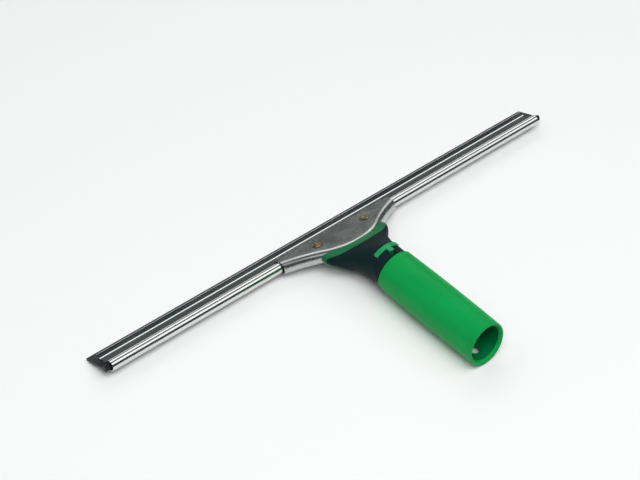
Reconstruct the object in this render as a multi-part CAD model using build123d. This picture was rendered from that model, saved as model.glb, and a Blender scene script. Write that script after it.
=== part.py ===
from build123d import *
import os
from math import asin, atan2, copysign, cos, pi, radians, sin, tan

# Window cleaning squeegee: a steel blade channel held in a riveted steel jaw on a moulded handle
# with a spring-loaded lock. Millimetres.
#
# Row frame: the origin is where the slanted mouth of the pole socket crosses the handle's axis. +Y runs
# along that axis towards the blade, +X along the channel, +Z up, to the side with the release tab.
#
# Head frame: the same X. y is "forward", from the channel's tube towards the blade's edge, and z is
# "height" off the blade's plane. The blade's plane drops by HEAD_TILT from the handle's axis.

os.makedirs("parts", exist_ok=True)

# ---------------------------------------------------------------- driving dimensions
HEAD_TILT = 21.0              # degrees between the blade's plane and the handle's axis
TUBE_AXIS_Y = 162.5           # channel tube's axis from the socket's mouth
TUBE_AXIS_Z = -11.7           # channel tube's axis below the handle's axis

CHANNEL_LENGTH = 450.0
CHANNEL_SHIFT = 4.8           # how far the channel sits off the handle's middle, along +X
SHEET = 0.6                   # channel's steel
TUBE_R = 4.2                  # outside radius of the channel's tube
LIP_GAP = 2.0                 # clear gap between the two lips
LIP_ROOT_R = 1.2              # sheet centre-line radius where tube turns into lip
LIP_BEND_FORWARD = 11.8       # where each lip starts to flare
LIP_BEND_R = 3.0
LIP_FLARE = 33.0              # degrees
LIP_FLARE_LENGTH = 3.6

RUBBER_LENGTH = 460.0
RUBBER_THICK = 1.9
RUBBER_EDGE_FORWARD = 23.2    # working edge, from the tube's axis
RUBBER_BEAD_BACK = -1.3       # back of the bead inside the tube
RUBBER_BEAD_FRONT = 1.9
RUBBER_BEAD_HALF = 2.3
RUBBER_BEAD_ROUND = 0.8

JAW_HALF = 58.7               # half the jaw's width
JAW_HIGH = 5.4                # half the jaw's height, outside
JAW_SHEET = 1.0
JAW_BEND_R = 4.9              # rounded back fold
JAW_FRONT = 9.5               # front edge of the strips that nip the lips
JAW_NIP_BACK = 6.3            # back of those strips
JAW_SLOPE_BACK = 2.4          # where the plates start to slope down to the strips
JAW_CORNER_R = 4.0
JAW_BACK = -31.0              # rearmost point of the back edge, on the middle line
JAW_BACK_R = 50.0             # radius of the back edge's middle arc
JAW_SHOULDER_X = 29.0         # where that arc ends
JAW_END_BACK = -6.5           # back edge at the jaw's ends
SEAM = 0.1                    # gap between the two half shells
WINDOW_HALF_X = 28.4          # opening in the back fold for the handle's tongue
WINDOW_HALF_HIGH = 2.85

RIVET_X = 25.0
RIVET_FORWARD = -6.6
RIVET_SHANK_R = 1.7
RIVET_HEAD_R = 3.9
RIVET_RECESS_R = 4.5
RIVET_RECESS_DEEP = 0.5
RIVET_HEAD_HIGH = 1.0
RIVET_DIMPLE_R = 1.5

FIT = 0.05                    # clearance between parts that seat on each other
SLIDE = 0.15                  # clearance round sliding parts

GRIP_FRONT = 98.5
MOUTH_SLANT = 8.6             # degrees; the mouth is cut back at the top
MOUTH_ROUND = 0.8
FUNNEL_R = 16.4               # the sleeve's flared opening, at the slanted mouth
CORE_INSET = 2.4              # the core's end, inside the sleeve's mouth
GRIP_FRONT_R = 17.6
GRIP_BELLY_R = 18.1
GRIP_END_R = 17.4
CORE_R = 15.5                 # core under the grip sleeve
SOCKET_R = 14.2               # pole socket's straight bore
SOCKET_STRAIGHT = 60.0
SOCKET_DEEP = 86.0            # end of the socket's taper
SOCKET_TIP_R = 11.0
PLUG_THICK = 3.5
LOCK_HOLE_Y = 11.0            # hole for a pole's snap button and for hanging up
LOCK_HOLE_R = 4.0

SKIN = 1.5                    # soft overmould on the neck
NECK_REAR = 98.7              # a hair ahead of the sleeve's front
NECK_REAR_R = 16.5
CORE_TUBE_FRONT = 100.2       # core is round up to here, just inside the overmould
RIM_PROUD = 0.3               # bare band of the core between jaw and overmould
RIM_GAP = 0.2
RIM_LAP = 4.0                 # how far forward the band may reach over the jaw's rounded fold
RIM_BACK = -36.3              # where the overmould starts, on the middle line
RIM_HALF = 36.0
RIM_END_BACK = -20.7          # where it would start at RIM_HALF

TAB_TRAVEL = 3.0              # pull on the release tab, along -Y
TAB_BAR_FRONT = 111.0
TAB_BAR_LONG = 4.0            # its size along Y
TAB_BAR_SPAN = 41.0           # degrees each side of the top
TAB_INNER_R = 16.45
TAB_OUTER_R = 17.5
TAB_LEG_HALF = 2.1
TAB_LEG_END = 103.2

LOCK_REST_GAP = 0.15          # teeth to tube
BAR_HALF_X = 16.0
BAR_HALF_HIGH = 2.9
BAR_FRONT = -7.6
BAR_BACK = -12.5
TOOTH_X = 11.0
TOOTH_HALF_X = 4.5
TOOTH_HALF_HIGH = 2.4
TOOTH_PITCH = 1.5
TOOTH_DEEP = 0.45
TOOTH_PIN_R = 1.0
ROD_R = 1.9
ROD_FRONT = -8.7
ROD_BACK = -59.6
TANG_FRONT = -55.2
TANG_HALF_X = 0.8
TANG_HALF_HIGH = 1.3
LINK_BACK = -57.95            # where the cross pin ties the tab to the rod
LINK_PIN_R = 0.8
SPRING_SEAT = -24.6
SPRING_R = 2.5                # to the middle of the wire
SPRING_WIRE = 0.8
SPRING_TURNS = 5.5
WASHER = 0.6

# ---------------------------------------------------------------- what follows from them
TILT = radians(HEAD_TILT)
HEAD = Plane(
    origin=(0, TUBE_AXIS_Y, TUBE_AXIS_Z), x_dir=(1, 0, 0), z_dir=(0, sin(TILT), cos(TILT))
)
ROD_TRAVEL = TAB_TRAVEL / cos(TILT)
JAW_INSIDE = JAW_HIGH - JAW_SHEET
CAVITY_BACK = BAR_BACK - ROD_TRAVEL - 0.4
CAVITY_HALF_HIGH = BAR_HALF_HIGH + SLIDE
TONGUE_FRONT = -TUBE_R - 0.2
SPRING_BORE_R = SPRING_R + SPRING_WIRE / 2 + 0.2
LINK_Y = TUBE_AXIS_Y + LINK_BACK * cos(TILT)
LINK_Z = TUBE_AXIS_Z - LINK_BACK * sin(TILT)
CHAMBER_TOP = 13.2
CHAMBER_HALF_X = 4.5
CHAMBER_BOTTOM = 5.0
CHAMBER_FRONT = 111.4


# ---------------------------------------------------------------- helpers
def block(x_low, x_high, y_low, y_high, z_low, z_high):
    """Box between two corners."""
    size = (x_high - x_low, y_high - y_low, z_high - z_low)
    middle = ((x_low + x_high) / 2, (y_low + y_high) / 2, (z_low + z_high) / 2)
    return Pos(*middle) * Box(*size)


def rod_along_y(radius, y_low, y_high, x=0.0, z=0.0):
    """Cylinder parallel to Y."""
    return Pos(x, (y_low + y_high) / 2, z) * Rot(90, 0, 0) * Cylinder(radius, y_high - y_low)


def rod_along_x(radius, half_length, y, z):
    """Cylinder parallel to X, centred on the middle plane."""
    return Pos(0, y, z) * Rot(0, 90, 0) * Cylinder(radius, 2 * half_length)


def along_x(profile, x_low, x_high):
    """Extrude a (forward, height) profile along X."""
    return Pos(x_low, 0, 0) * extrude(Plane.YZ * profile, amount=x_high - x_low)


def turned(points, y_shift=0.0):
    """Revolve a closed (radius, y) outline about the Y axis."""
    outline = Polyline(*[(r, y + y_shift) for r, y in points], close=True)
    return revolve(make_face(outline), axis=Axis.Y)


# ---------------------------------------------------------------- blade: channel and rubber
def channel_profile():
    """Folded sheet: a tube with a slot at its front, whose two edges run on as lips and then flare."""
    middle_r = TUBE_R - SHEET / 2
    lip_high = (LIP_GAP + SHEET) / 2
    root_reach = middle_r + LIP_ROOT_R
    root_angle = asin((lip_high + LIP_ROOT_R) / root_reach)
    leave = (middle_r * cos(root_angle), middle_r * sin(root_angle))
    lip_start = (root_reach * cos(root_angle), lip_high)
    flare = radians(LIP_FLARE)
    bend_start = (LIP_BEND_FORWARD, lip_high)
    bend_end = (LIP_BEND_FORWARD + LIP_BEND_R * sin(flare), lip_high + LIP_BEND_R * (1 - cos(flare)))
    edge = (bend_end[0] + LIP_FLARE_LENGTH * cos(flare), bend_end[1] + LIP_FLARE_LENGTH * sin(flare))
    upper = trace(
        [
            ThreePointArc((-middle_r, 0), (0, middle_r), leave),
            TangentArc(leave, lip_start, tangent=(sin(root_angle), -cos(root_angle))),
            Line(lip_start, bend_start),
            TangentArc(bend_start, bend_end, tangent=(1, 0)),
            Line(bend_end, edge),
        ],
        line_width=SHEET,
    )
    return upper + mirror(upper, about=Plane.XZ)


def blade_channel():
    half = CHANNEL_LENGTH / 2
    return along_x(channel_profile(), CHANNEL_SHIFT - half, CHANNEL_SHIFT + half)


def rubber_blade():
    """Flat strip with a square working edge, a bead inside the tube and a rib behind the lips."""
    strip = Pos((RUBBER_BEAD_BACK + RUBBER_EDGE_FORWARD) / 2, 0) * Rectangle(
        RUBBER_EDGE_FORWARD - RUBBER_BEAD_BACK, RUBBER_THICK
    )
    bead = Pos((RUBBER_BEAD_BACK + RUBBER_BEAD_FRONT) / 2, 0) * RectangleRounded(
        RUBBER_BEAD_FRONT - RUBBER_BEAD_BACK, 2 * RUBBER_BEAD_HALF, RUBBER_BEAD_ROUND
    )
    half = RUBBER_LENGTH / 2
    return along_x(strip + bead, CHANNEL_SHIFT - half, CHANNEL_SHIFT + half)


# ---------------------------------------------------------------- jaw: two half shells and their rivets
def jaw_back_edge(inset, reach):
    """Back edge of the jaw's plan, moved forward by inset and run on to x = reach at both ends."""
    radius = JAW_BACK_R - inset
    centre_y = JAW_BACK + JAW_BACK_R
    shoulder = asin(JAW_SHOULDER_X / JAW_BACK_R)
    joint_y = centre_y - JAW_BACK_R * cos(shoulder)
    chord = atan2(JAW_END_BACK - joint_y, JAW_HALF - JAW_SHOULDER_X)
    end_slope = 2 * chord - shoulder
    joint = (radius * sin(shoulder), centre_y - radius * cos(shoulder))
    end = (JAW_HALF - inset * sin(end_slope), JAW_END_BACK + inset * cos(end_slope))
    tail = (reach, end[1] + (reach - end[0]) * tan(end_slope))
    right = [
        TangentArc(joint, end, tangent=(cos(shoulder), sin(shoulder))),
        Line(end, tail),
    ]
    left = [mirror(edge, about=Plane.YZ) for edge in right]
    middle = ThreePointArc((-joint[0], joint[1]), (0, centre_y - radius), joint)
    return [*left, middle, *right], tail


def jaw_block(inset, half_high, bend_r):
    """Solid of the jaw's plan with its back edges rounded, before the ends and front are trimmed."""
    reach = JAW_HALF + 6
    edges, tail = jaw_back_edge(inset, reach)
    front = Polyline(tail, (reach, 20), (-reach, 20), (-tail[0], tail[1]))
    plan = make_face([*edges, *front.edges()])
    body = Pos(0, 0, -half_high) * extrude(plan, amount=2 * half_high)
    flats = body.faces().sort_by(Axis.Z)
    rims = [
        edge
        for face in (flats[0], flats[-1])
        for edge in face.edges()
        if edge.center().Y < tail[1] + 1 and abs(edge.center().X) < reach - 1
    ]
    return fillet(rims, bend_r)


def jaw_front_profile(thick, front):
    """Half section of the front: flat plate, slope over the tube, strip that nips the lip."""
    nip = LIP_GAP / 2 + SHEET + FIT + thick
    flat = JAW_INSIDE + thick
    lean = thick * 0.35
    back = -40
    points = [
        (back, 0),
        (back, flat),
        (JAW_SLOPE_BACK + lean, flat),
        (JAW_NIP_BACK + lean, nip),
        (front, nip),
        (front, 0),
    ]
    half = make_face(Polyline(*points, close=True))
    return half + mirror(half, about=Plane.XZ)


def jaw_shells():
    """The pressed shell, split at mid height into an upper and a lower half."""
    outside = jaw_block(0, JAW_HIGH, JAW_BEND_R)
    outside &= along_x(jaw_front_profile(JAW_SHEET, JAW_FRONT), -JAW_HALF, JAW_HALF)
    corners = [
        edge
        for edge in outside.edges().filter_by(Axis.Z)
        if edge.center().Y > JAW_FRONT - 0.1 and abs(edge.center().X) > JAW_HALF - 0.1
    ]
    outside = fillet(corners, JAW_CORNER_R)
    inside = jaw_block(JAW_SHEET, JAW_INSIDE, JAW_BEND_R - JAW_SHEET)
    inside &= along_x(jaw_front_profile(0, JAW_FRONT + 10), -JAW_HALF - 5, JAW_HALF + 5)
    shell = outside - inside
    shell -= block(-WINDOW_HALF_X, WINDOW_HALF_X, -40, -12, -WINDOW_HALF_HIGH, WINDOW_HALF_HIGH)
    for x in (-RIVET_X, RIVET_X):
        shell -= Pos(x, RIVET_FORWARD, 0) * Cylinder(RIVET_SHANK_R + FIT, 3 * JAW_HIGH)
        for side in (-1, 1):
            recess_middle = side * (JAW_HIGH + 1 - RIVET_RECESS_DEEP)
            shell -= Pos(x, RIVET_FORWARD, recess_middle) * Cylinder(RIVET_RECESS_R, 2)
    room = 2 * JAW_HALF + 10
    upper = shell & Pos(0, 0, SEAM / 2 + 10) * Box(room, 120, 20)
    lower = shell & Pos(0, 0, -SEAM / 2 - 10) * Box(room, 120, 20)
    return upper, lower


def jaw_rivet(x):
    """Hollow-nosed rivet: a shank with a domed, dimpled head on each face of the jaw."""
    seat = JAW_HIGH - RIVET_RECESS_DEEP
    top = seat + RIVET_HEAD_HIGH
    rim = (RIVET_DIMPLE_R, top)
    head = [
        Line((0, 0), (RIVET_SHANK_R, 0)),
        Line((RIVET_SHANK_R, 0), (RIVET_SHANK_R, seat)),
        Line((RIVET_SHANK_R, seat), (RIVET_HEAD_R, seat)),
        TangentArc((RIVET_HEAD_R, seat), rim, tangent=(0, 1)),
        Line(rim, (0, top - RIVET_HEAD_HIGH * 0.6)),
        Line((0, top - RIVET_HEAD_HIGH * 0.6), (0, 0)),
    ]
    upper = revolve(Plane.XZ * make_face(head), axis=Axis.Z)
    rivet = upper + mirror(upper, about=Plane.XY)
    return Pos(x, RIVET_FORWARD, 0) * rivet


# ---------------------------------------------------------------- neck: from the flat jaw to the round grip
def neck_section(plane, half_x, half_high, squareness):
    """Closed super-ellipse on a plane: squareness 2 is an ellipse, more is boxier."""
    count = 24
    points = []
    for step in range(count):
        angle = 2 * pi * (step + 0.5) / count
        power = 2 / squareness
        x = half_x * copysign(abs(cos(angle)) ** power, cos(angle))
        high = half_high * copysign(abs(sin(angle)) ** power, sin(angle))
        points.append((x, high))
    return plane * make_face(Spline(*points, periodic=True))


def neck_form(grow):
    """Loft along the neck, in the row frame. grow thickens it all round; negative thins it."""

    def on_handle(y, drop=0.0, lean=0.0):
        angle = radians(lean)
        return Plane(origin=(0, y, -drop), x_dir=(1, 0, 0), z_dir=(0, cos(angle), -sin(angle)))

    def on_head(forward, drop=0.0):
        y = TUBE_AXIS_Y + forward * cos(TILT) - drop * sin(TILT)
        z = TUBE_AXIS_Z - forward * sin(TILT) - drop * cos(TILT)
        return Plane(origin=(0, y, z), x_dir=(1, 0, 0), z_dir=(0, cos(TILT), -sin(TILT)))

    stations = [
        (on_head(-14), 32.4, 4.6, 4.0),
        (on_head(-22, 0.4), 32.2, 5.0, 3.6),
        (on_head(-28, 1.8), 29.8, 6.6, 3.0),
        (on_handle(128.5, 3.6, HEAD_TILT / 2), 23.2, 10.6, 2.5),
        (on_handle(121.5, 2.0), 19.5, 12.9, 2.15),
        (on_handle(113.5, 0.6), 16.9, 15.6, 2.0),
        (on_handle(106.0), 16.2, 16.2, 2.0),
        (on_handle(NECK_REAR), NECK_REAR_R, NECK_REAR_R, 2.0),
    ]
    sections = [neck_section(p, x + grow, high + grow, square) for p, x, high, square in stations]
    return loft(sections)


def behind_jaw(gap):
    """Everything behind the jaw's back edge by at least gap, in the row frame."""
    edges, tail = jaw_back_edge(-gap, JAW_HALF)
    back = Polyline(tail, (JAW_HALF, -110), (-JAW_HALF, -110), (-tail[0], tail[1]))
    plan = make_face([*edges, *back.edges()])
    return HEAD * (Pos(0, 0, -60) * extrude(plan, amount=120))


def behind_rim():
    """Everything behind the bare rim, in the row frame."""
    left, right = (-RIM_HALF, RIM_END_BACK), (RIM_HALF, RIM_END_BACK)
    front = ThreePointArc(left, (0, RIM_BACK), right)
    back = Polyline(right, (RIM_HALF, -110), (-RIM_HALF, -110), left)
    plan = make_face([front, *back.edges()])
    return HEAD * (Pos(0, 0, -60) * extrude(plan, amount=120))


def tab_slot():
    """Slot through the top of the neck for the release tab's leg."""
    front = TAB_BAR_FRONT - 0.2
    rear = TAB_LEG_END - TAB_TRAVEL - SLIDE
    return block(-TAB_LEG_HALF - SLIDE, TAB_LEG_HALF + SLIDE, rear, front, CHAMBER_TOP - 2, 30)


def neck_overmould():
    skin = neck_form(0) & behind_rim()
    skin -= neck_form(-SKIN)
    skin -= rod_along_y(CORE_R, 0, CORE_TUBE_FRONT)
    return skin - tab_slot()


# ---------------------------------------------------------------- handle core
def tongue():
    """Flat part of the core that fills the jaw behind the tube, with the lock's cavity."""
    inset = JAW_SHEET + 0.1
    fill = jaw_block(inset, JAW_INSIDE - FIT, JAW_BEND_R - inset)
    fill &= block(-33, 33, -40, TONGUE_FRONT, -JAW_HIGH, JAW_HIGH)
    neck_half_high = WINDOW_HALF_HIGH - FIT
    neck_half_x = WINDOW_HALF_X - FIT
    fill += block(-neck_half_x, neck_half_x, -31, -18, -neck_half_high, neck_half_high)
    for x in (-RIVET_X, RIVET_X):
        fill -= Pos(x, RIVET_FORWARD, 0) * Cylinder(RIVET_SHANK_R + FIT, 3 * JAW_HIGH)
    return HEAD * fill - behind_rim()


def lock_cavities():
    """Room for the lock bar, its spring and its rod, in the row frame."""
    bar_room = block(
        -BAR_HALF_X - SLIDE,
        BAR_HALF_X + SLIDE,
        CAVITY_BACK,
        0,
        -CAVITY_HALF_HIGH,
        CAVITY_HALF_HIGH,
    )
    spring_room = rod_along_y(SPRING_BORE_R, SPRING_SEAT, CAVITY_BACK + 1)
    rod_room = rod_along_y(ROD_R + FIT, LINK_BACK, SPRING_SEAT + 1)
    chamber = block(
        -CHAMBER_HALF_X, CHAMBER_HALF_X, SOCKET_DEEP, CHAMBER_FRONT, CHAMBER_BOTTOM, CHAMBER_TOP
    )
    return HEAD * (bar_room + spring_room + rod_room), chamber


def handle_core():
    """One moulding: tongue, rim, neck and the tube that holds a pole."""
    rim = neck_form(RIM_PROUD) & behind_jaw(-RIM_LAP)
    rim -= behind_rim()
    rim -= HEAD * jaw_block(-RIM_GAP, JAW_HIGH + RIM_GAP, JAW_BEND_R + RIM_GAP)
    neck = neck_form(-SKIN) & behind_jaw(RIM_GAP)
    tube = rod_along_y(CORE_R, -5, CORE_TUBE_FRONT) - past_mouth(CORE_INSET)
    core = neck + rim + tube + tongue()
    cavity, chamber = lock_cavities()
    core = core - cavity - chamber - tab_slot()
    socket = [
        (0, -5),
        (SOCKET_R, -5),
        (SOCKET_R, SOCKET_STRAIGHT),
        (SOCKET_TIP_R, SOCKET_DEEP),
        (SOCKET_TIP_R, SOCKET_DEEP + PLUG_THICK),
        (0, SOCKET_DEEP + PLUG_THICK),
    ]
    core -= turned(socket)
    return core - lock_hole()


def lock_hole():
    """Hole down through the bottom wall near the mouth."""
    return Pos(0, LOCK_HOLE_Y, -SOCKET_R) * Cylinder(LOCK_HOLE_R, 12)


def socket_plug():
    """Disc that closes the socket's end off from the lock's chamber."""
    return rod_along_y(SOCKET_TIP_R - FIT, SOCKET_DEEP, SOCKET_DEEP + PLUG_THICK - FIT)


def past_mouth(y):
    """Everything outside the slanted plane that crosses the handle's axis at y."""
    return Pos(0, y, 0) * Rot(-MOUTH_SLANT, 0, 0) * Pos(0, -20, 0) * Box(60, 40, 60)


def mouth_disc(y, radius):
    """Disc in that plane."""
    slant = radians(MOUTH_SLANT)
    plane = Plane(origin=(0, y, 0), x_dir=(1, 0, 0), z_dir=(0, cos(slant), -sin(slant)))
    return plane * Circle(radius)


def grip_sleeve():
    """Soft sleeve with a slight belly and a slanted, flared mouth that laps over the core's end."""
    round_r = 1.2
    corner = (GRIP_FRONT_R - round_r, GRIP_FRONT)
    front = (GRIP_FRONT_R, GRIP_FRONT - round_r)
    end = (GRIP_END_R, -5)
    outline = [
        Line((0, GRIP_FRONT), corner),
        TangentArc(corner, front, tangent=(1, 0)),
        ThreePointArc(front, (GRIP_BELLY_R, GRIP_FRONT / 2 + 8), end),
        Polyline(end, (0, -5), (0, GRIP_FRONT)),
    ]
    sleeve = revolve(make_face(outline), axis=Axis.Y) - past_mouth(0)
    mouth = [edge for edge in sleeve.edges() if edge.bounding_box().max.Y < GRIP_FRONT / 2]
    sleeve = fillet(mouth, MOUTH_ROUND)
    sleeve -= rod_along_y(CORE_R + FIT, -5, GRIP_FRONT + 1) - past_mouth(CORE_INSET - FIT)
    throat_r = SOCKET_R + 0.4
    flare = (FUNNEL_R - throat_r) / CORE_INSET
    sleeve -= loft([mouth_disc(-1, FUNNEL_R + flare), mouth_disc(CORE_INSET, throat_r)])
    return sleeve - lock_hole()


# ---------------------------------------------------------------- release and lock
def release_tab():
    """T-shaped thumb tab: a curved bar, a leg towards the grip and a fork down to the rod."""
    rear = TAB_BAR_FRONT - TAB_BAR_LONG
    ring = rod_along_y(TAB_OUTER_R, rear, TAB_BAR_FRONT) - rod_along_y(
        TAB_INNER_R, rear - 1, TAB_BAR_FRONT + 1
    )
    wedge = make_face(
        Polyline(
            (0, 0),
            (40 * sin(radians(TAB_BAR_SPAN)), 40 * cos(radians(TAB_BAR_SPAN))),
            (0, 60),
            (-40 * sin(radians(TAB_BAR_SPAN)), 40 * cos(radians(TAB_BAR_SPAN))),
            close=True,
        )
    )
    bar = ring & (Pos(0, TAB_BAR_FRONT + 1, 0) * extrude(Plane.XZ * wedge, amount=2 + TAB_BAR_LONG))
    bar = fillet(bar.edges().filter_by(GeomType.CIRCLE).group_by(SortBy.RADIUS)[-1], 0.5)
    leg = block(-TAB_LEG_HALF, TAB_LEG_HALF, TAB_LEG_END, TAB_BAR_FRONT - 0.4, 10.4, TAB_OUTER_R)
    leg &= rod_along_y(TAB_OUTER_R, 90, 120)
    fork = block(
        -TAB_LEG_HALF, TAB_LEG_HALF, LINK_Y - 1.5, LINK_Y + 1.5, LINK_Z - 2.4, 10.6
    )
    lugs = block(-2.8, 2.8, LINK_Y - 1.5, LINK_Y + 1.5, CHAMBER_TOP - 1.2, CHAMBER_TOP - 0.2)
    tab = bar + leg + fork + lugs
    tang_room = TANG_HALF_X + SLIDE
    tab -= block(-tang_room, tang_room, 90, 120, LINK_Z - 5, LINK_Z + 3.4)
    rise = TAB_TRAVEL * tan(TILT)
    slot_half = LINK_PIN_R + 0.08
    tab -= block(-5, 5, LINK_Y - slot_half, LINK_Y + slot_half, LINK_Z - 1.0, LINK_Z + rise + 1.0)
    return tab


def tab_pin():
    return rod_along_x(LINK_PIN_R, TAB_LEG_HALF - 0.05, LINK_Y, LINK_Z)


def lock_rod():
    """Round rod with a flat tang at the back for the cross pin."""
    rod = rod_along_y(ROD_R, ROD_BACK, ROD_FRONT)
    tang = block(-TANG_HALF_X, TANG_HALF_X, ROD_BACK - 1, TANG_FRONT, -TANG_HALF_HIGH, TANG_HALF_HIGH)
    back_part = block(-4, 4, ROD_BACK - 1, TANG_FRONT, -4, 4)
    rod -= back_part - tang
    return rod - rod_along_x(LINK_PIN_R, 4, LINK_BACK, 0)


def lock_bar():
    """Cross bar that carries the two toothed pads and is pushed by the spring."""
    bar = block(-BAR_HALF_X, BAR_HALF_X, BAR_BACK, BAR_FRONT, -BAR_HALF_HIGH, BAR_HALF_HIGH)
    bar = fillet(bar.edges().filter_by(Axis.Z), 1.2)
    bar -= rod_along_y(ROD_R, BAR_BACK - 1, ROD_FRONT)
    for x in (-TOOTH_X, TOOTH_X):
        bar -= rod_along_y(TOOTH_PIN_R, BAR_FRONT - 3, BAR_FRONT + 1, x)
    return bar


def lock_tooth(x):
    """Brass pad hollowed to the tube's radius, with grooves across its face for bite."""
    face_r = TUBE_R + LOCK_REST_GAP
    pad = block(x - TOOTH_HALF_X, x + TOOTH_HALF_X, BAR_FRONT, -3.4, -TOOTH_HALF_HIGH, TOOTH_HALF_HIGH)
    pad -= rod_along_x(face_r, 40, 0, 0)
    steps = int(TOOTH_HALF_X / TOOTH_PITCH)
    groove = make_face(
        Polyline(
            (-TOOTH_DEEP, -face_r),
            (TOOTH_DEEP, -face_r),
            (0, -face_r - TOOTH_DEEP),
            close=True,
        )
    )
    cutter = Pos(0, 0, -5) * extrude(groove, amount=10)
    for step in range(-steps, steps + 1):
        pad -= Pos(x + step * TOOTH_PITCH, 0, 0) * cutter
    return pad - rod_along_y(TOOTH_PIN_R, BAR_FRONT - 1, BAR_FRONT + 1.6, x)


def tooth_pin(x):
    return rod_along_y(TOOTH_PIN_R, BAR_FRONT - 2.9, BAR_FRONT + 1.5, x)


def lock_spring():
    """Open compression spring round the rod, between the bar and its washer."""
    front = BAR_BACK - SPRING_WIRE / 2 - FIT
    back = SPRING_SEAT + WASHER + SPRING_WIRE / 2 + FIT
    height = front - back
    helix = Helix(pitch=height / SPRING_TURNS, height=height, radius=SPRING_R)
    wire_face = Plane(origin=helix @ 0, z_dir=helix % 0) * Circle(SPRING_WIRE / 2)
    coil = sweep(wire_face, path=helix, is_frenet=True)
    return Pos(0, back, 0) * Rot(-90, 0, 0) * coil


def spring_washer():
    ring = rod_along_y(SPRING_BORE_R - FIT, SPRING_SEAT, SPRING_SEAT + WASHER)
    return ring - rod_along_y(ROD_R + 0.1, SPRING_SEAT - 1, SPRING_SEAT + 2)


# ---------------------------------------------------------------- write each piece
def main():
    jaw_upper, jaw_lower = jaw_shells()
    in_head_frame = {
        "blade_channel": blade_channel(),
        "rubber_blade": rubber_blade(),
        "jaw_upper_shell": jaw_upper,
        "jaw_lower_shell": jaw_lower,
        "lock_bar": lock_bar(),
        "lock_rod": lock_rod(),
        "lock_spring": lock_spring(),
        "spring_washer": spring_washer(),
    }
    for side, sign in (("left", -1), ("right", 1)):
        in_head_frame[f"jaw_rivet_{side}"] = jaw_rivet(sign * RIVET_X)
        in_head_frame[f"lock_tooth_{side}"] = lock_tooth(sign * TOOTH_X)
        in_head_frame[f"tooth_pin_{side}"] = tooth_pin(sign * TOOTH_X)
    in_row_frame = {
        "handle_core": handle_core(),
        "neck_overmould": neck_overmould(),
        "grip_sleeve": grip_sleeve(),
        "socket_plug": socket_plug(),
        "release_tab": release_tab(),
        "tab_pin": tab_pin(),
    }
    pieces = {name: HEAD * piece for name, piece in in_head_frame.items()} | in_row_frame
    for name, piece in pieces.items():
        export_step(piece, f"parts/{name}.step")


main()
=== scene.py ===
from math import asin, cos, degrees, pi, radians, sin, tan

import bmesh
import bpy
from mathutils import Matrix, Vector


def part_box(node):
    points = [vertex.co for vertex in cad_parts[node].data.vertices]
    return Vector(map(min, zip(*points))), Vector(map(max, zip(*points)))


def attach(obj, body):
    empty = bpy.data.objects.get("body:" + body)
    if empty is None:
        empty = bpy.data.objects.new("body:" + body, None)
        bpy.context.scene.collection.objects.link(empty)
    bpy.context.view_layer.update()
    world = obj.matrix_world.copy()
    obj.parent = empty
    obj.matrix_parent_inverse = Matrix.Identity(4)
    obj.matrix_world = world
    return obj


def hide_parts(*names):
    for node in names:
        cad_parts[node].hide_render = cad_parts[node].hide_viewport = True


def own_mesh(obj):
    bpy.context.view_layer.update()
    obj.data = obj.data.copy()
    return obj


# Window cleaning squeegee, in the part's frame: the handle's axis is the Y axis, the channel runs along
# X, and +Z is the side with the release tab. Places are in metres. The sections of the parts made here
# are given in millimetres and turned into metres by MM.
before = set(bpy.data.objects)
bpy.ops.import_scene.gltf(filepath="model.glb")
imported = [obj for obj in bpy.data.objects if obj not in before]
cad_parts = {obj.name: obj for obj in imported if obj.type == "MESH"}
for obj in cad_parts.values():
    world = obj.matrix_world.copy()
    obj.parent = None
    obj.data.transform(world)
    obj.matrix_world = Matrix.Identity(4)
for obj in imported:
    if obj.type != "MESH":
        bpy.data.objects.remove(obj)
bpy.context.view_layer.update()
MM = 0.001

# ---------------------------------------------------------------- driving values
HEAD_TILT = radians(21.0)     # the blade's plane drops by this from the handle's axis
TUBE_AXIS_Y = 162.5 * MM
TUBE_AXIS_Z = -11.7 * MM

CAMERA_AZIMUTH = radians(-46.0)
CAMERA_ELEVATION = radians(43.76)
CAMERA_ROLL = radians(5.57)
CAMERA_DISTANCE = 1.35
CAMERA_AIM = Vector((-0.0110, 0.1688, -0.0154))
CAMERA_LENS = 97.08


# ---------------------------------------------------------------- materials
# A material's name is its slot's name and "_paint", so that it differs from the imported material's.
NOISE_ROUGHNESS = 0.55


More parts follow.
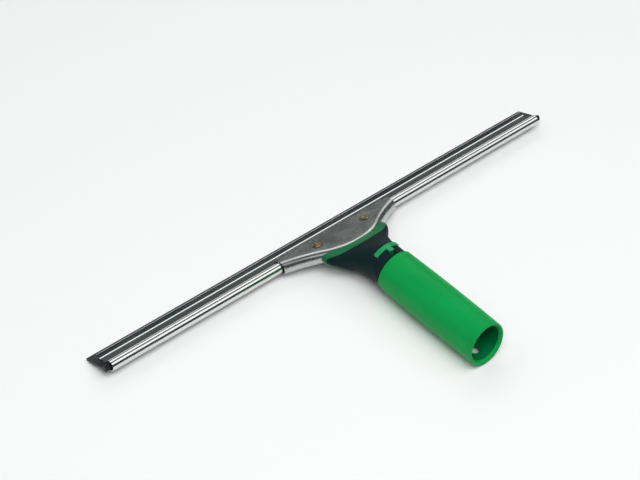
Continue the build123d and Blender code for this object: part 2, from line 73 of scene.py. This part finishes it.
class Finish:
    """A material and short ways to add nodes to it."""

    def __init__(self, name, colour, roughness, metallic=0.0):
        self.material = bpy.data.materials.new(name + "_paint")
        self.material.use_nodes = True
        self.tree = self.material.node_tree
        self.shader = self.tree.nodes["Principled BSDF"]
        self.set("Base Color", (*colour, 1.0))
        self.set("Roughness", roughness)
        self.set("Metallic", metallic)

    def set(self, socket, value):
        self.shader.inputs[socket].default_value = value

    def node(self, kind):
        return self.tree.nodes.new(kind)

    def join(self, output, socket):
        self.tree.links.new(output, socket)

    def noise(self, stretch, detail):
        """Noise over the object's own coordinates. stretch is features per metre along X, Y and Z."""
        place = self.node("ShaderNodeTexCoord")
        scale = self.node("ShaderNodeMapping")
        scale.inputs["Scale"].default_value = stretch
        made = self.node("ShaderNodeTexNoise")
        made.inputs["Scale"].default_value = 1.0
        made.inputs["Detail"].default_value = detail
        made.inputs["Roughness"].default_value = NOISE_ROUGHNESS
        self.join(place.outputs["Object"], scale.inputs["Vector"])
        self.join(scale.outputs["Vector"], made.inputs["Vector"])
        return made.outputs["Fac"]

    def relief(self, height, depth):
        """A bump of a real depth, in metres."""
        made = self.node("ShaderNodeBump")
        made.inputs["Distance"].default_value = depth
        made.inputs["Strength"].default_value = 1.0
        self.join(height, made.inputs["Height"])
        self.join(made.outputs["Normal"], self.shader.inputs["Normal"])

    def roughness(self, factor, low, high):
        """A roughness that goes from low to high as the factor goes from 0.3 to 0.7."""
        made = self.node("ShaderNodeMapRange")
        made.inputs["From Min"].default_value = 0.3
        made.inputs["From Max"].default_value = 0.7
        made.inputs["To Min"].default_value = low
        made.inputs["To Max"].default_value = high
        self.join(factor, made.inputs["Value"])
        self.join(made.outputs["Result"], self.shader.inputs["Roughness"])

    def colour(self, factor, low, high, start=0.3, end=0.7):
        """A colour that goes from low to high as the factor goes from start to end."""
        made = self.node("ShaderNodeValToRGB")
        ramp = made.color_ramp.elements
        ramp[0].position, ramp[0].color = start, (*low, 1.0)
        ramp[1].position, ramp[1].color = end, (*high, 1.0)
        self.join(factor, made.inputs["Fac"])
        self.join(made.outputs["Color"], self.shader.inputs["Base Color"])


def channel_steel():
    """Bright drawn stainless strip: fine lines along its length and a few wipe marks."""
    finish = Finish("channel_steel", (0.72, 0.73, 0.72), 0.14, 1.0)
    wipes = finish.noise((18, 70, 70), 5)
    lines = finish.noise((2, 900, 900), 2)
    finish.roughness(wipes, 0.1, 0.19)
    finish.colour(lines, (0.66, 0.68, 0.67), (0.76, 0.77, 0.76))
    finish.relief(lines, 0.0000012)
    return finish.material


def jaw_steel():
    """Satin stainless, brushed across the jaw, with faint rub marks."""
    finish = Finish("jaw_steel", (0.56, 0.57, 0.55), 0.28, 1.0)
    lines = finish.noise((12, 1500, 1500), 3)
    wipes = finish.noise((45, 70, 70), 5)
    finish.roughness(wipes, 0.22, 0.33)
    finish.colour(lines, (0.47, 0.49, 0.48), (0.58, 0.6, 0.58))
    finish.relief(lines, 0.000002)
    return finish.material


def rivet_brass():
    """Tarnished brass, nearly black in patches."""
    finish = Finish("rivet_brass", (0.5, 0.34, 0.14), 0.3, 1.0)
    stain = finish.noise((520, 520, 520), 5)
    finish.colour(stain, (0.07, 0.05, 0.03), (0.5, 0.38, 0.2), 0.42, 0.58)
    finish.roughness(stain, 0.5, 0.24)
    finish.relief(stain, 0.00002)
    return finish.material


def tooth_brass():
    """Cut brass with tool marks across the pad."""
    finish = Finish("tooth_brass", (0.66, 0.47, 0.2), 0.28, 1.0)
    cuts = finish.noise((300, 2500, 2500), 4)
    finish.roughness(cuts, 0.22, 0.38)
    finish.relief(cuts, 0.00001)
    return finish.material


def bare_steel(name, roughness):
    """Plain turned or drawn steel."""
    finish = Finish(name, (0.56, 0.56, 0.56), roughness, 1.0)
    turned = finish.noise((1800, 1800, 1800), 4)
    finish.roughness(turned, roughness - 0.06, roughness + 0.08)
    finish.relief(turned, 0.000006)
    return finish.material


def blade_rubber():
    """Natural black rubber with drawn lines along it and a slight grey bloom."""
    finish = Finish("blade_rubber", (0.004, 0.009, 0.009), 0.42)
    finish.set("Specular IOR Level", 0.3)
    bloom = finish.noise((40, 160, 160), 5)
    lines = finish.noise((15, 3000, 3000), 3)
    finish.colour(bloom, (0.003, 0.007, 0.007), (0.009, 0.015, 0.015))
    finish.roughness(bloom, 0.36, 0.5)
    finish.relief(lines, 0.00001)
    return finish.material


def moulded(name, dark, light, rough_low, rough_high, grain=0.00001):
    """Moulded plastic: a faint cloud in the colour and a fine spark-eroded grain."""
    finish = Finish(name, light, rough_high)
    cloud = finish.noise((45, 45, 45), 3)
    fine = finish.noise((3500, 3500, 3500), 2)
    finish.colour(cloud, dark, light)
    finish.roughness(cloud, rough_low, rough_high)
    finish.relief(fine, grain)
    return finish


def core_plastic():
    # The core's green is painted darker than the grip's and the tab's: painted shade for the rim behind
    # the jaw, which lies partly in shadow.
    finish = moulded("core_plastic", (0.0, 0.12, 0.036), (0.0, 0.15, 0.045), 0.34, 0.42)
    finish.set("Specular IOR Level", 0.3)
    return finish.material


def tab_plastic():
    return moulded("tab_plastic", (0.0, 0.24, 0.07), (0.0, 0.29, 0.085), 0.3, 0.38).material


def neck_soft():
    finish = moulded("neck_soft", (0.002, 0.012, 0.013), (0.004, 0.017, 0.018), 0.55, 0.65, 0.00003)
    finish.set("Specular IOR Level", 0.16)
    return finish.material


def grip_soft():
    finish = moulded("grip_soft", (0.0, 0.28, 0.052), (0.0, 0.325, 0.066), 0.4, 0.5, 0.000015)
    finish.set("Specular IOR Level", 0.18)
    return finish.material


def plug_plastic():
    return moulded("plug_plastic", (0.012, 0.012, 0.013), (0.02, 0.02, 0.021), 0.4, 0.5).material


def bar_plastic():
    return moulded("bar_plastic", (0.035, 0.036, 0.038), (0.055, 0.056, 0.058), 0.45, 0.55).material


MATERIALS = {
    "blade_channel": channel_steel(),
    "rubber_blade": blade_rubber(),
    "jaw_upper_shell": jaw_steel(),
    "jaw_rivet_left": rivet_brass(),
    "handle_core": core_plastic(),
    "neck_overmould": neck_soft(),
    "grip_sleeve": grip_soft(),
    "socket_plug": plug_plastic(),
    "release_tab": tab_plastic(),
    "tab_pin": bare_steel("pin_steel", 0.3),
    "lock_bar": bar_plastic(),
    "lock_tooth_left": tooth_brass(),
    "lock_spring": bare_steel("spring_steel", 0.26),
}
SAME_AS = {
    "jaw_lower_shell": "jaw_upper_shell",
    "jaw_rivet_right": "jaw_rivet_left",
    "lock_rod": "tab_pin",
    "tooth_pin_left": "tab_pin",
    "tooth_pin_right": "tab_pin",
    "spring_washer": "tab_pin",
    "lock_tooth_right": "lock_tooth_left",
}
for name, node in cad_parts.items():
    node.data.materials.clear()
    node.data.materials.append(MATERIALS[SAME_AS.get(name, name)])


# ---------------------------------------------------------------- geometry helpers
DRAWN_SHARP = 35.0            # degrees: an edge sharper than this stays sharp on a drawn or turned part
GRIP_SHARP = 38.0
CAD_SHARP = 30.0
CAD_FLAT = 0.4                # degrees: facets of a CAD node closer than this are joined into one
WELD = 2e-7                   # metres between points that become one
CAD_WELD = 2e-6

HEAD_PLACE = Matrix.Translation((0, TUBE_AXIS_Y, TUBE_AXIS_Z)) @ Matrix.Rotation(-HEAD_TILT, 4, "X")


def on_head(x, forward, height):
    """A point of the head frame, in millimetres, as a place in the part's frame."""
    return HEAD_PLACE @ (Vector((x, forward, height)) * MM)


def mesh_of(name, verts, faces):
    mesh = bpy.data.meshes.new(name)
    mesh.from_pydata([tuple(point) for point in verts], [], faces)
    return mesh


def show(name, data):
    """A new object in the scene that shows this mesh, light or camera."""
    made = bpy.data.objects.new(name, data)
    bpy.context.scene.collection.objects.link(made)
    return made


def add_piece(name, verts, faces, node, body):
    """A mesh that stands for one CAD node, smooth but for its sharp edges."""
    mesh = mesh_of(name, verts, faces)
    mesh.validate()
    soften(mesh, DRAWN_SHARP)
    dress(show(name, mesh), node, body)


def soften(mesh, sharp):
    """Welds and recalculates the faces, then shades smooth except across edges sharper than this."""
    work = bmesh.new()
    work.from_mesh(mesh)
    bmesh.ops.remove_doubles(work, verts=work.verts, dist=WELD)
    bmesh.ops.recalc_face_normals(work, faces=work.faces)
    for face in work.faces:
        face.smooth = True
    for edge in work.edges:
        edge.smooth = edge.calc_face_angle(0.0) < radians(sharp)
    work.to_mesh(mesh)
    work.free()


def dress(piece, node, body):
    """Gives a piece its node's material, hides the node it stands for and hangs the piece on what it rides
    on.
    """
    slot = SAME_AS.get(node, node)
    piece.data.materials.clear()
    piece.data.materials.append(MATERIALS[slot])
    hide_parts(node)
    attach(piece, body)


def lathe(rings, segments, place, closed=True):
    """Vertices and faces of a turned form.

    rings are (radius, along) pairs, and place(radius, angle, along) gives a point.
    """
    verts, faces = [], []
    for radius, along in rings:
        for step in range(segments):
            verts.append(place(radius, 2 * pi * step / segments, along))
    count = len(rings)
    for ring in range(count if closed else count - 1):
        for step in range(segments):
            a, b = ring * segments, (ring + 1) % count * segments
            after = (step + 1) % segments
            faces.append((a + step, a + after, b + after, b + step))
    return verts, faces


def arc(centre, radius, start, end, steps):
    """Points of an arc, angles in degrees."""
    points = []
    for step in range(steps + 1):
        angle = radians(start + (end - start) * step / steps)
        points.append((centre[0] + radius * cos(angle), centre[1] + radius * sin(angle)))
    return points


def offset_loop(loop, inset):
    """A closed loop moved inwards by about inset, along its corners' bisectors."""
    moved = []
    count = len(loop)
    for index in range(count):
        before, here, after = (Vector(loop[(index + k) % count]) for k in (-1, 0, 1))
        first, second = (here - before).normalized(), (after - here).normalized()
        normal = Vector((-first.y - second.y, first.x + second.x))
        scale = max(0.35, normal.length_squared / 2)
        moved.append(here + normal / scale * inset)
    return moved


def drawn_section(loop, x_low, x_high, chamfer):
    """A closed (forward, height) loop drawn along X, with its ends deburred."""
    small = offset_loop(loop, chamfer)
    stations = [(x_low, small), (x_low + chamfer, loop), (x_high - chamfer, loop), (x_high, small)]
    verts = [on_head(x, forward, height) for x, outline in stations for forward, height in outline]
    count = len(loop)
    faces = [tuple(range(count))[::-1], tuple(range(3 * count, 4 * count))]
    for station in range(3):
        for step in range(count):
            a, b = station * count, (station + 1) * count
            after = (step + 1) % count
            faces.append((a + step, a + after, b + after, b + step))
    return verts, faces


# ---------------------------------------------------------------- blade
CHANNEL_LOW, CHANNEL_HIGH = (corner.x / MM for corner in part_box("blade_channel"))
RUBBER_LOW, RUBBER_HIGH = (corner.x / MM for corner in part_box("rubber_blade"))
SHEET = 0.6
SHEET_EASE = 0.12             # rounding of the strip's two long edges
EASE_MIDDLE = 0.29            # how far the round's middle lies from its corner, of the ease
TUBE_MIDDLE_R = 3.9
LIP_HIGH = 1.3                # from the blade's middle plane to the middle of a lip's sheet
LIP_ROOT_R = 1.2
LIP_BEND_FORWARD = 11.8
LIP_BEND_R = 3.0
LIP_FLARE = 33.0              # degrees
LIP_FLARE_LENGTH = 3.6
NEAR_BEND = 0.2               # extra points this near a bend keep the flats' shading flat
CHANNEL_DEBUR = 0.08

BEAD_BACK, BEAD_FRONT = -1.3, 1.9
BEAD_HIGH = 2.3
BEAD_ROUND = 0.8
RUBBER_HALF = 0.95            # half the strip's thickness
RUBBER_ROOT = 0.15            # rounding where the strip meets the bead
RUBBER_TIP = 23.2
TIP_EASE = 0.14
TIP_EASE_MIDDLE = 0.04
RUBBER_DEBUR = 0.06


def channel():
    """The folded strip: one path from the lower lip round the tube to the upper lip, given thickness."""
    reach = TUBE_MIDDLE_R + LIP_ROOT_R
    root = degrees(asin((LIP_HIGH + LIP_ROOT_R) / reach))
    root_centre = (reach * cos(radians(root)), LIP_HIGH + LIP_ROOT_R)
    bend_centre = (LIP_BEND_FORWARD, LIP_HIGH + LIP_BEND_R)
    upper = arc((0, 0), TUBE_MIDDLE_R, 180, root, 44)
    upper += arc(root_centre, LIP_ROOT_R, 180 + root, 270, 8)[1:]
    upper += [(upper[-1][0] + NEAR_BEND, LIP_HIGH), (LIP_BEND_FORWARD - NEAR_BEND, LIP_HIGH)]
    upper += arc(bend_centre, LIP_BEND_R, 270, 270 + LIP_FLARE, 8)
    flare = Vector((cos(radians(LIP_FLARE)), sin(radians(LIP_FLARE))))
    bend_end = Vector(upper[-1])
    for along in (NEAR_BEND, LIP_FLARE_LENGTH - SHEET / 2, LIP_FLARE_LENGTH):
        upper.append(tuple(bend_end + flare * along))
    lower = [(x, -y) for x, y in reversed(upper[1:])]
    path = [Vector(point) for point in lower + upper]
    outer, inner = [], []
    for index, here in enumerate(path):
        before = path[max(index - 1, 0)]
        after = path[min(index + 1, len(path) - 1)]
        along = (after - before).normalized()
        across = Vector((-along.y, along.x)) * SHEET / 2
        outer.append(here + across)
        inner.append(here - across)
    loop = edge_round(outer, inner)
    verts, faces = drawn_section(loop, CHANNEL_LOW, CHANNEL_HIGH, CHANNEL_DEBUR)
    add_piece("channel_strip", verts, faces, "blade_channel", "channel")


def edge_round(outer, inner):
    """Joins the two sides of a strip, easing the corners of its two edges."""
    middle = SHEET_EASE * EASE_MIDDLE
    loop = []
    for side, other in ((outer, inner), (inner[::-1], outer[::-1])):
        start, end = side[0], side[-1]
        in_start, in_end = (side[1] - start).normalized(), (side[-2] - end).normalized()
        to_start, to_end = (other[0] - start).normalized(), (other[-1] - end).normalized()
        loop.append(start + to_start * SHEET_EASE)
        loop.append(start + (in_start + to_start) * middle)
        loop.append(start + in_start * SHEET_EASE)
        loop += side[1:-1]
        loop.append(end + in_end * SHEET_EASE)
        loop.append(end + (in_end + to_end) * middle)
        loop.append(end + to_end * SHEET_EASE)
    return loop


def rubber():
    """Drawn strip with a rounded bead at the back and a crisp, slightly eased working edge."""
    bead_middle = BEAD_HIGH - BEAD_ROUND
    loop = arc((BEAD_BACK + BEAD_ROUND, bead_middle), BEAD_ROUND, 180, 90, 6)
    loop += arc((BEAD_FRONT - BEAD_ROUND, bead_middle), BEAD_ROUND, 90, 0, 6)
    loop += [(BEAD_FRONT, RUBBER_HALF + RUBBER_ROOT), (BEAD_FRONT + RUBBER_ROOT, RUBBER_HALF)]
    loop += [(RUBBER_TIP - TIP_EASE, RUBBER_HALF)]
    loop += [(RUBBER_TIP - TIP_EASE_MIDDLE, RUBBER_HALF - TIP_EASE_MIDDLE)]
    loop += [(RUBBER_TIP, RUBBER_HALF - TIP_EASE)]
    loop += [(x, -y) for x, y in reversed(loop)]
    loop.reverse()
    verts, faces = drawn_section(loop, RUBBER_LOW, RUBBER_HIGH, RUBBER_DEBUR)
    add_piece("rubber_strip", verts, faces, "rubber_blade", "rubber")


# ---------------------------------------------------------------- jaw rivets
RIVET_X = 25.0
RIVET_FORWARD = -6.6
RIVET_SEAT = 4.9              # from the jaw's middle plane to where a head sits on its plate
SHANK_R = 1.7
HEAD_R = 3.9
HEAD_ROUND = 0.6
DIMPLE = [                    # (radius, height over the seat), from the head's rolled rim to its middle
    (2.6, 0.93), (2.0, 1.0), (1.7, 0.97), (1.5, 0.85), (1.3, 0.55), (0.9, 0.43), (0.0, 0.4),
]


def rivet(node, x):
    """Both heads and the shank, with a rolled rim round the dimple on each face."""
    half = [(SHANK_R, 0.0), (SHANK_R, RIVET_SEAT), (HEAD_R - 0.1, RIVET_SEAT), (HEAD_R, RIVET_SEAT + 0.12)]
    half += arc((HEAD_R - HEAD_ROUND, RIVET_SEAT + 0.3), HEAD_ROUND, 0, 60, 5)
    half += [(radius, RIVET_SEAT + height) for radius, height in DIMPLE]
    rings = [(radius, -along) for radius, along in reversed(half[1:])] + half

    def place(radius, angle, along):
        return on_head(x + radius * cos(angle), RIVET_FORWARD + radius * sin(angle), along)

    verts, faces = lathe(rings, 56, place, closed=False)
    add_piece(node + "_turned", verts, faces, node, "handle")


# ---------------------------------------------------------------- grip
MOUTH_SLANT = radians(8.6)
MOUTH_REAR = -5.0             # where the belly's curve begins, behind the mouth's middle
MOUTH_ROUND = 0.8
SLANT_FADE = 16.0             # the rings are square to the axis again this far past the mouth
GRIP_FRONT = 98.5
GRIP_ROUND = 1.2
GRIP_REAR_R, GRIP_FRONT_R = 17.4, 17.6
GRIP_BELLY = 0.592            # how far the middle stands proud of the line between the two ends
GRIP_BORE_R = 15.55
GRIP_SEGMENTS = 200
GRIP_STEPS = 60
MOUTH_INSIDE = [              # (radius, along), from the mouth's rim in to the core's end
    (16.45, 0.0), (16.3, 0.05), (16.1, 0.25), (15.4, 1.2), (14.62, 2.3), (14.62, 2.34), (15.55, 2.34),
]
LOCK_HOLE_Y = 11.0
LOCK_HOLE_R = 4.0
LOCK_HOLE_SEGMENTS = 64
LOCK_HOLE_MOUTH = 0.4         # the hole is this much wider in radius where it comes out
PARTING_ANGLE = 26.0          # degrees above the sides where the mould's halves met
PARTING_HIGH = 0.09
PARTING_HALF_WIDE = 1.7       # degrees
PARTING_START, PARTING_END = 28.0, 90.0
PARTING_FADE = 8.0


def grip():
    """Turned sleeve with a rolled, slanted mouth, a step at the front and the mould's parting lines."""
    shoulder_r = GRIP_FRONT_R - GRIP_ROUND
    shoulder = GRIP_FRONT - GRIP_ROUND
    mouth_r = outer_radius(0)
    rings = [(GRIP_BORE_R, GRIP_FRONT), (16.0, GRIP_FRONT), (shoulder_r, GRIP_FRONT)]
    for turn in (15, 30, 45, 60, 75):
        angle = radians(turn)
        rings.append((shoulder_r + GRIP_ROUND * sin(angle), shoulder + GRIP_ROUND * cos(angle)))
    for step in range(GRIP_STEPS + 1):
        along = shoulder - (shoulder - MOUTH_ROUND) * step / GRIP_STEPS
        rings.append((outer_radius(along), along))
    for turn in (15, 30, 45, 60, 75, 90):
        angle = radians(turn)
        rings.append((mouth_r - MOUTH_ROUND * (1 - cos(angle)), MOUTH_ROUND - MOUTH_ROUND * sin(angle)))
    rings += MOUTH_INSIDE

    def place(radius, angle, along):
        reach = radius
        if radius >= 17.0:
            ridge = parting(angle) * fade(along, PARTING_START, PARTING_START + PARTING_FADE)
            reach += ridge * fade(-along, -PARTING_END, PARTING_FADE - PARTING_END)
        x, z = reach * cos(angle), reach * sin(angle)
        shift = z * tan(MOUTH_SLANT) * (1 - fade(along, MOUTH_ROUND, SLANT_FADE))
        return Vector((x, along + shift, z)) * MM

    verts, faces = lathe(rings, GRIP_SEGMENTS, place)
    mesh = cut(mesh_of("grip_blank", verts, faces), hole_cutter())
    piece = show("grip_turned", mesh)
    soften(mesh, GRIP_SHARP)
    dress(piece, "grip_sleeve", "handle")


def outer_radius(along):
    """The sleeve's slight belly: a parabola through its two ends and its proud middle."""
    t = (along - MOUTH_REAR) / (GRIP_FRONT - GRIP_ROUND - MOUTH_REAR)
    return GRIP_REAR_R + (GRIP_FRONT_R - GRIP_REAR_R) * t + GRIP_BELLY * 4 * t * (1 - t)


def parting(angle):
    """Height in millimetres of the flash line at this angle round the sleeve."""
    high = 0.0
    for line in (PARTING_ANGLE, 180 - PARTING_ANGLE):
        away = abs(degrees(angle) - line)
        high = max(high, PARTING_HIGH * max(0.0, 1 - away / PARTING_HALF_WIDE))
    return high


def fade(value, low, high):
    """0 below low, 1 above high, smooth between."""
    t = min(1.0, max(0.0, (value - low) / (high - low)))
    return t * t * (3 - 2 * t)


def hole_cutter():
    """The lock hole's volume, from inside the bore out through the sleeve's bottom."""
    wide = LOCK_HOLE_R + LOCK_HOLE_MOUTH
    rings = [(LOCK_HOLE_R, -8.0), (LOCK_HOLE_R, -15.9), (wide, -18.3), (wide, -24.0)]

    def place(radius, angle, along):
        return Vector((radius * cos(angle), LOCK_HOLE_Y + radius * sin(angle), along)) * MM

    verts, faces = lathe(rings, LOCK_HOLE_SEGMENTS, place, closed=False)
    last = len(verts)
    faces.append(tuple(range(LOCK_HOLE_SEGMENTS))[::-1])
    faces.append(tuple(range(last - LOCK_HOLE_SEGMENTS, last)))
    return mesh_of("hole_cutter", verts, faces)


def cut(mesh, tool):
    """The mesh with the tool's volume taken out of it."""
    made = []
    for data in (mesh, tool):
        work = bmesh.new()
        work.from_mesh(data)
        bmesh.ops.recalc_face_normals(work, faces=work.faces)
        work.to_mesh(data)
        work.free()
        made.append(show(data.name, data))
    body, cutter = made
    change = body.modifiers.new("hole", "BOOLEAN")
    change.operation = "DIFFERENCE"
    change.solver = "EXACT"
    change.object = cutter
    graph = bpy.context.evaluated_depsgraph_get()
    result = bpy.data.meshes.new_from_object(body.evaluated_get(graph))
    for thing in made:
        bpy.data.objects.remove(thing)
    return result


# ---------------------------------------------------------------- the other parts, edges eased
def finished(node, body, ease):
    """A copy of a CAD node with its flats joined up and its edges given a small real radius."""
    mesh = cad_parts[node].data.copy()
    mesh.name = node + "_finished"
    work = bmesh.new()
    work.from_mesh(mesh)
    bmesh.ops.remove_doubles(work, verts=work.verts, dist=CAD_WELD)
    bmesh.ops.dissolve_limit(work, angle_limit=radians(CAD_FLAT), verts=work.verts, edges=work.edges)
    work.to_mesh(mesh)
    work.free()
    if "custom_normal" in mesh.attributes:
        mesh.attributes.remove(mesh.attributes["custom_normal"])
    soften(mesh, CAD_SHARP)
    piece = show(node + "_finished", mesh)
    if ease > 0:
        bevel = piece.modifiers.new("ease", "BEVEL")
        bevel.width = ease * MM
        bevel.segments = 2
        bevel.limit_method = "ANGLE"
        bevel.angle_limit = radians(CAD_SHARP)
        bevel.harden_normals = True
    dress(piece, node, body)
    return piece


def spring():
    """The coil, copied from its CAD node without eased edges, rides on the lock with a mesh of its own."""
    coil = finished("lock_spring", "lock", 0)
    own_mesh(coil)


for shell in ("jaw_upper_shell", "jaw_lower_shell"):
    finished(shell, "handle", 0.14)
finished("handle_core", "handle", 0.12)
finished("neck_overmould", "handle", 0.15)
finished("socket_plug", "handle", 0.2)
finished("release_tab", "release", 0.16)
finished("lock_bar", "lock", 0.25)
finished("lock_rod", "lock", 0.12)
finished("tab_pin", "lock", 0.1)
for side in ("left", "right"):
    finished("lock_tooth_" + side, "lock", 0.06)
    finished("tooth_pin_" + side, "lock", 0.15)

spring()
channel()
rubber()
rivet("jaw_rivet_left", -RIVET_X)
rivet("jaw_rivet_right", RIVET_X)
grip()


# ---------------------------------------------------------------- floor, light and camera
FLOOR_HALF = 6.0
STRIPS = [                    # name, x, y, z, breadth, watts: the last two light the far side
    ("front_strip", 1.1, 1.24, 1.18, 1.15, 9.5),
    ("top_strip", 1.1, -0.50, 1.58, 1.2, 9.5),
    ("left_front_strip", -1.3, 1.24, 1.18, 1.15, 6),
    ("left_top_strip", -1.3, -0.50, 1.9, 0.8, 5),
]
STRIP_LENGTH = 2.0


def floor():
    """Pale sheet under the two places that touch it: the heel of the grip and the channel's lower lip."""
    heel_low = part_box("grip_sleeve")[0]
    lip_low, lip_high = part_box("blade_channel")
    lean = -(heel_low.z - lip_low.z) / lip_high.y
    half = FLOOR_HALF
    corners = [(-half, -half), (half, -half), (half, half), (-half, half)]
    verts = [(x, y, lip_low.z + lean * (y - lip_high.y)) for x, y in corners]
    mesh = mesh_of("floor", verts, [(0, 1, 2, 3)])
    plane = show("floor", mesh)
    mesh.materials.append(Finish("floor_paper", (0.9, 0.9, 0.9), 0.9).material)


def soft_box(name, centre, aim, size_x, size_y, power):
    """Rectangular area light at centre, facing aim."""
    light = bpy.data.lights.new(name, "AREA")
    light.shape = "RECTANGLE"
    light.size = size_x
    light.size_y = size_y
    light.energy = power
    lamp = show(name, light)
    lamp.location = centre
    lamp.rotation_mode = "QUATERNION"
    lamp.rotation_quaternion = (Vector(aim) - Vector(centre)).to_track_quat("-Z", "Y")
    return lamp


def camera():
    """The camera, turned by CAMERA_ROLL about its own line of sight."""
    level_x, level_y = sin(CAMERA_AZIMUTH), -cos(CAMERA_AZIMUTH)
    flat = cos(CAMERA_ELEVATION)
    back = Vector((level_x * flat, level_y * flat, sin(CAMERA_ELEVATION)))
    data = bpy.data.cameras.new("camera")
    data.lens = CAMERA_LENS
    data.sensor_width = 36.0
    data.clip_start = 0.05
    data.clip_end = 50.0
    made = show("camera", data)
    made.location = CAMERA_AIM + back * CAMERA_DISTANCE
    made.rotation_mode = "QUATERNION"
    level = (-back).to_track_quat("-Z", "Y")
    made.rotation_quaternion = level @ Matrix.Rotation(CAMERA_ROLL, 3, "Z").to_quaternion()
    bpy.context.scene.camera = made


def surroundings():
    """A dim room: a little lighter near the horizon than overhead."""
    world = bpy.data.worlds.new("studio")
    bpy.context.scene.world = world
    world.use_nodes = True
    nodes, links = world.node_tree.nodes, world.node_tree.links
    back = nodes["Background"]
    back.inputs["Strength"].default_value = 1.0
    place = nodes.new("ShaderNodeTexCoord")
    split = nodes.new("ShaderNodeSeparateXYZ")
    ramp = nodes.new("ShaderNodeValToRGB")
    ramp.color_ramp.elements[0].position = 0.2
    ramp.color_ramp.elements[0].color = (0.085, 0.1, 0.095, 1.0)
    ramp.color_ramp.elements[1].position = 0.6
    ramp.color_ramp.elements[1].color = (0.03, 0.04, 0.042, 1.0)
    links.new(place.outputs["Generated"], split.inputs["Vector"])
    links.new(split.outputs["Z"], ramp.inputs["Fac"])
    links.new(ramp.outputs["Color"], back.inputs["Color"])


floor()
surroundings()
for name, x, y, z, breadth, watts in STRIPS:
    soft_box(name, (x, y, z), (x, 0.15, 0), STRIP_LENGTH, breadth, watts)
wide = soft_box("wide_box", (-0.5, -0.6, 2.0), (0, 0.1, 0), 1.8, 1.8, 39)
wide.visible_glossy = False
camera()
bpy.context.scene.view_settings.view_transform = "Standard"
